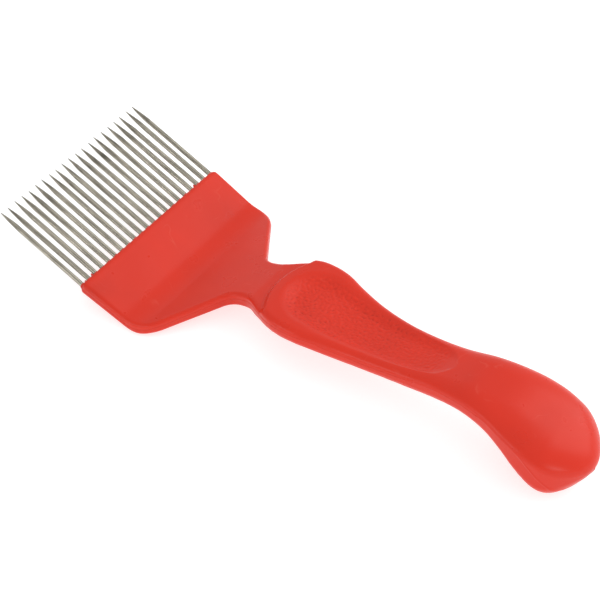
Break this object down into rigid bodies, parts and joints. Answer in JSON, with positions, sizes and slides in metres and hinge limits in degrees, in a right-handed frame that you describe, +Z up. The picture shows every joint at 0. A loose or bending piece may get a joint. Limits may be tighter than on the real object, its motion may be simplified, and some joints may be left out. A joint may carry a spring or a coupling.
{
  "type": "uncapping fork",
  "caption": "Uncapping fork for lifting wax cappings off honeycomb: moulded plastic handle with a bent head, a thumb dish and a row of pointed steel tines.",
  "frame": {"origin": "centre of the bounding box in plan, at the level the fork rests on", "axes": "+X along the fork from the tips of the tines towards the butt, +Z up from the surface it rests on, thumb dish upwards"},
  "size_m": [0.2058, 0.0692, 0.0249],
  "materials": {
    "handle_plastic": "satin moulded",
    "tine_steel": "drawn wire, ground points"
  },
  "bodies": {
    "root": {"handle": "handle_plastic", "tine_01": "tine_steel", "tine_02": "tine_steel", "tine_03": "tine_steel", "tine_04": "tine_steel", "tine_05": "tine_steel", "tine_06": "tine_steel", "tine_07": "tine_steel", "tine_08": "tine_steel", "tine_09": "tine_steel", "tine_10": "tine_steel", "tine_11": "tine_steel", "tine_12": "tine_steel", "tine_13": "tine_steel", "tine_14": "tine_steel", "tine_15": "tine_steel", "tine_16": "tine_steel", "tine_17": "tine_steel", "tine_18": "tine_steel", "tine_19": "tine_steel", "tine_20": "tine_steel", "tine_21": "tine_steel"}
  },
  "joints": []
}
